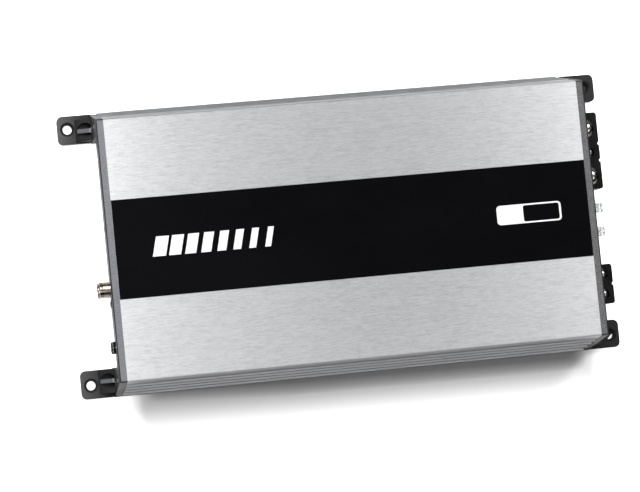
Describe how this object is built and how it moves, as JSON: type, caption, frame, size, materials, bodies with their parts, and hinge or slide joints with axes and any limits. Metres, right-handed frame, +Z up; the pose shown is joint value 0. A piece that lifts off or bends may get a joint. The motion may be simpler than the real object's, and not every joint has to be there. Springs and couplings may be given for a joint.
{
  "type": "car audio amplifier",
  "caption": "Low finned aluminium car amplifier with cast end caps and mounting ears, jacks and controls on one end, wire clamps and blade fuses on the other.",
  "frame": {"origin": "centre of the base, on the surface the amplifier is screwed to", "axes": "+X along the body towards the power and fuse end, +Y to the back, +Z up from the mounting surface"},
  "size_m": [0.303, 0.155, 0.046],
  "materials": {
    "silver_aluminium": "brushed along the length, clear anodised",
    "black_gloss": "polished",
    "white_mark": "satin",
    "cast_cap": "fine textured powder coat",
    "panel_black": "satin black paint",
    "black_screw": "black zinc",
    "cover_steel": "satin black paint",
    "zinc_screw": "zinc plated",
    "nickel": "nickel plated",
    "board_green": "solder resist",
    "black_plastic": "fine moulded texture",
    "white_plastic": "satin",
    "pot_blue": "satin",
    "knob_black": "satin",
    "gold_contact": "gold plated",
    "led_blue": "clear epoxy",
    "led_red": "clear epoxy",
    "nickel_brass": "nickel plated brass",
    "fuse_clear": "clear moulded plastic",
    "fuse_metal": "tin plated",
    "ferrite": "matt",
    "copper": "enamelled copper wire",
    "capacitor_sleeve": "shrink sleeve",
    "transistor": "matt epoxy",
    "pad_grey": "matt"
  },
  "bodies": {
    "amplifier": {"heatsink_body": "silver_aluminium", "top_trim_strip": "black_gloss", "strip_bars": "white_mark", "strip_badge": "white_mark", "left_end_cap": "cast_cap", "right_end_cap": "cast_cap", "end_cap_screws": "black_screw", "input_panel": "panel_black", "power_panel": "panel_black", "panel_screws": "black_screw", "bottom_cover": "cover_steel", "bottom_cover_screws": "zinc_screw", "main_board": "board_green", "board_screws": "zinc_screw", "gain_board": "board_green", "control_board": "board_green", "rca_housing": "black_plastic", "rca_shells": "nickel", "rca_insulators": "white_plastic", "rca_contacts": "gold_contact", "rca_fixing_screw": "black_screw", "pot_bodies": "pot_blue", "phase_switch_body": "nickel", "remote_socket": "black_plastic", "remote_contacts": "gold_contact", "power_led": "led_blue", "protect_led": "led_red", "power_block": "black_plastic", "power_contacts": "nickel_brass", "speaker_block": "black_plastic", "speaker_contacts": "nickel_brass", "fuse_socket": "black_plastic", "fuse_clips": "nickel_brass", "toroid_core": "ferrite", "toroid_winding": "copper", "inductor_core": "ferrite", "inductor_winding": "copper", "supply_capacitors": "capacitor_sleeve", "rail_capacitors": "capacitor_sleeve", "supply_mosfets": "transistor", "output_mosfets": "transistor", "thermal_pads": "pad_grey", "clamp_bars": "zinc_screw", "clamp_screws": "zinc_screw", "control_chips": "transistor"},
    "level_knob": {"level_knob": "knob_black"},
    "lowpass_knob": {"lowpass_knob": "knob_black"},
    "bass_trimmer": {"bass_trimmer": "white_plastic"},
    "subsonic_trimmer": {"subsonic_trimmer": "white_plastic"},
    "phase_switch_slider": {"phase_switch_slider": "black_plastic"},
    "ground_screw": {"ground_screw": "zinc_screw"},
    "remote_screw": {"remote_screw": "zinc_screw"},
    "positive_screw": {"positive_screw": "zinc_screw"},
    "speaker_negative_screw": {"speaker_negative_screw": "zinc_screw"},
    "speaker_positive_screw": {"speaker_positive_screw": "zinc_screw"},
    "fuse_1": {"fuse_1_housing": "fuse_clear", "fuse_1_blades": "fuse_metal"},
    "fuse_2": {"fuse_2_housing": "fuse_clear", "fuse_2_blades": "fuse_metal"}
  },
  "joints": [
    {"name": "level_turn", "type": "hinge", "parent": "amplifier", "child": "level_knob", "pos_m": [-0.1344, -0.051, 0.0305], "axis": [-1, 0, 0], "range_deg": [-140, 140]},
    {"name": "lowpass_turn", "type": "hinge", "parent": "amplifier", "child": "lowpass_knob", "pos_m": [-0.1344, -0.051, 0.0175], "axis": [-1, 0, 0], "range_deg": [-140, 140]},
    {"name": "bass_turn", "type": "hinge", "parent": "amplifier", "child": "bass_trimmer", "pos_m": [-0.1313, 0.006, 0.0305], "axis": [-1, 0, 0], "range_deg": [-140, 140]},
    {"name": "subsonic_turn", "type": "hinge", "parent": "amplifier", "child": "subsonic_trimmer", "pos_m": [-0.1313, 0.022, 0.0305], "axis": [-1, 0, 0], "range_deg": [-140, 140]},
    {"name": "phase_slide", "type": "slide", "parent": "amplifier", "child": "phase_switch_slider", "axis": [0, 1, 0], "range_m": [0, 0.0024]},
    {"name": "ground_screw_turn", "type": "hinge", "parent": "amplifier", "child": "ground_screw", "pos_m": [0.137, 0.018, 0.031], "axis": [0, 0, 1], "range_deg": [-1800, 360]},
    {"name": "remote_screw_turn", "type": "hinge", "parent": "amplifier", "child": "remote_screw", "pos_m": [0.137, 0.031, 0.031], "axis": [0, 0, 1], "range_deg": [-1800, 360]},
    {"name": "positive_screw_turn", "type": "hinge", "parent": "amplifier", "child": "positive_screw", "pos_m": [0.137, 0.0445, 0.031], "axis": [0, 0, 1], "range_deg": [-1800, 360]},
    {"name": "speaker_negative_screw_turn", "type": "hinge", "parent": "amplifier", "child": "speaker_negative_screw", "pos_m": [0.137, -0.0475, 0.031], "axis": [0, 0, 1], "range_deg": [-1800, 360]},
    {"name": "speaker_positive_screw_turn", "type": "hinge", "parent": "amplifier", "child": "speaker_positive_screw", "pos_m": [0.137, -0.0365, 0.031], "axis": [0, 0, 1], "range_deg": [-1800, 360]},
    {"name": "fuse_1_pull", "type": "slide", "parent": "amplifier", "child": "fuse_1", "axis": [1, 0, 0], "range_m": [0, 0.014]},
    {"name": "fuse_2_pull", "type": "slide", "parent": "amplifier", "child": "fuse_2", "axis": [1, 0, 0], "range_m": [0, 0.014]}
  ]
}
